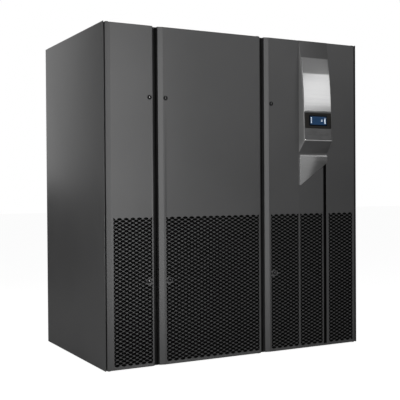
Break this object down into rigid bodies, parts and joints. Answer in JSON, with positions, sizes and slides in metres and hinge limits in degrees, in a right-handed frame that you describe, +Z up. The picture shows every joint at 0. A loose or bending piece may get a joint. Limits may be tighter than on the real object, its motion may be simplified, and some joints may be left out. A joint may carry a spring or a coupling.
{
  "type": "precision cooling unit",
  "caption": "Floor-standing upflow room cooling unit with hinged, half-perforated front doors, a display nose, roof fans, filters, cooling coil and compressors.",
  "frame": {"origin": "on the floor, under the middle of the cabinet between its side panels and between the closed doors' face and the rear panels", "axes": "+Z up, the doors face -Y, +X to the right of someone who faces the doors"},
  "size_m": [1.8, 1.1305, 1.991],
  "materials": {
    "door_paint": "fine textured dark grey powder coat",
    "black_paint": "matt black powder coat",
    "zinc_sheet": "zinc-coated sheet",
    "brushed_steel": "brushed stainless steel",
    "bright_trim": "bright",
    "latch_black": "satin black",
    "frame_plastic": "satin black",
    "screen_blue": "lit blue display behind a clear window",
    "key_plastic": "soft dark grey",
    "rubber": "matt",
    "fan_aluminium": "mill finish",
    "motor_black": "satin black enamel",
    "filter_media": "charcoal grey pleated fibre in a dark frame",
    "coil_fins": "plain fins",
    "copper": "drawn copper tube",
    "drain_plastic": "light grey",
    "steam_plastic": "dark grey",
    "board_green": "lacquered board",
    "switch_plastic": "light grey",
    "knob_red": "red"
  },
  "bodies": {
    "cabinet": {"base_frame": "black_paint", "corner_posts": "black_paint", "door_posts": "black_paint", "top_rails": "black_paint", "side_panels": "door_paint", "rear_panels": "door_paint", "roof_panels": "door_paint", "pivot_brackets": "black_paint", "door_seals": "rubber", "fan_deck": "zinc_sheet", "inlet_cones": "zinc_sheet", "fan_motors": "motor_black", "motor_brackets": "zinc_sheet", "discharge_collars": "zinc_sheet", "bay_partition": "zinc_sheet", "filter_rack": "zinc_sheet", "air_filters": "filter_media", "evaporator_coil": "coil_fins", "coil_end_plates": "zinc_sheet", "coil_headers": "copper", "drain_tray": "brushed_steel", "drain_socket": "drain_plastic", "heater_rods": "zinc_sheet", "compressors": "motor_black", "compressor_feet": "rubber", "hot_gas_line": "copper", "suction_line": "copper", "liquid_line": "copper", "filter_drier": "motor_black", "humidifier": "steam_plastic", "steam_pipe": "steam_plastic", "electrical_box": "zinc_sheet", "control_board": "board_green", "switchgear": "switch_plastic"},
    "fan_left": {"left_impeller": "fan_aluminium"},
    "fan_right": {"right_impeller": "fan_aluminium"},
    "left_door": {"left_door": "door_paint", "left_door_grille": "door_paint"},
    "middle_door": {"middle_door": "door_paint", "middle_door_grille": "door_paint"},
    "right_door": {"right_door": "door_paint", "right_door_grilles": "door_paint", "groove_channel": "black_paint", "nose_shell": "door_paint", "nose_plate": "brushed_steel", "display_frame": "frame_plastic", "screen": "screen_blue", "nose_lip": "bright_trim", "slanted_plate": "brushed_steel"},
    "left_upper_latch": {"left_upper_latch": "latch_black"},
    "left_lower_latch": {"left_lower_latch": "latch_black"},
    "middle_upper_latch": {"middle_upper_latch": "latch_black"},
    "middle_lower_latch": {"middle_lower_latch": "latch_black"},
    "right_upper_latch": {"right_upper_latch": "latch_black"},
    "right_lower_latch": {"right_lower_latch": "latch_black"},
    "key_1": {"key_1": "key_plastic"},
    "key_2": {"key_2": "key_plastic"},
    "key_3": {"key_3": "key_plastic"},
    "key_4": {"key_4": "key_plastic"},
    "isolator_knob": {"isolator_knob": "knob_red"}
  },
  "joints": [
    {"name": "fan_left_spin", "type": "hinge", "parent": "cabinet", "child": "fan_left", "pos_m": [-0.209, 0.09, 1.3], "axis": [0, 0, 1], "continuous": true},
    {"name": "fan_right_spin", "type": "hinge", "parent": "cabinet", "child": "fan_right", "pos_m": [0.52225, 0.09, 1.3], "axis": [0, 0, 1], "continuous": true},
    {"name": "left_door_hinge", "type": "hinge", "parent": "cabinet", "child": "left_door", "pos_m": [-0.874, -0.519, 1], "axis": [0, 0, -1], "range_deg": [0, 110]},
    {"name": "middle_door_hinge", "type": "hinge", "parent": "cabinet", "child": "middle_door", "pos_m": [0.129, -0.519, 1], "axis": [0, 0, 1], "range_deg": [0, 115]},
    {"name": "right_door_hinge", "type": "hinge", "parent": "cabinet", "child": "right_door", "pos_m": [0.874, -0.519, 1], "axis": [0, 0, 1], "range_deg": [0, 115]},
    {"name": "left_upper_latch_turn", "type": "hinge", "parent": "left_door", "child": "left_upper_latch", "pos_m": [-0.618, -0.535, 1.572], "axis": [0, -1, 0], "range_deg": [0, 90]},
    {"name": "left_lower_latch_turn", "type": "hinge", "parent": "left_door", "child": "left_lower_latch", "pos_m": [-0.628, -0.535, 0.506], "axis": [0, -1, 0], "range_deg": [0, 90]},
    {"name": "middle_upper_latch_turn", "type": "hinge", "parent": "middle_door", "child": "middle_upper_latch", "pos_m": [-0.515, -0.535, 1.572], "axis": [0, 1, 0], "range_deg": [0, 90]},
    {"name": "middle_lower_latch_turn", "type": "hinge", "parent": "middle_door", "child": "middle_lower_latch", "pos_m": [-0.494, -0.535, 0.506], "axis": [0, 1, 0], "range_deg": [0, 90]},
    {"name": "right_upper_latch_turn", "type": "hinge", "parent": "right_door", "child": "right_upper_latch", "pos_m": [0.222, -0.535, 1.572], "axis": [0, 1, 0], "range_deg": [0, 90]},
    {"name": "right_lower_latch_turn", "type": "hinge", "parent": "right_door", "child": "right_lower_latch", "pos_m": [0.243, -0.535, 0.506], "axis": [0, 1, 0], "range_deg": [0, 90]},
    {"name": "key_1_press", "type": "slide", "parent": "right_door", "child": "key_1", "axis": [0, 1, 0], "range_m": [0, 0.0015], "stiffness_N_per_m": 300},
    {"name": "key_2_press", "type": "slide", "parent": "right_door", "child": "key_2", "axis": [0, 1, 0], "range_m": [0, 0.0015], "stiffness_N_per_m": 300},
    {"name": "key_3_press", "type": "slide", "parent": "right_door", "child": "key_3", "axis": [0, 1, 0], "range_m": [0, 0.0015], "stiffness_N_per_m": 300},
    {"name": "key_4_press", "type": "slide", "parent": "right_door", "child": "key_4", "axis": [0, 1, 0], "range_m": [0, 0.0015], "stiffness_N_per_m": 300},
    {"name": "isolator_turn", "type": "hinge", "parent": "cabinet", "child": "isolator_knob", "pos_m": [0.736, -0.382, 1.835], "axis": [0, -1, 0], "range_deg": [0, 90]}
  ]
}
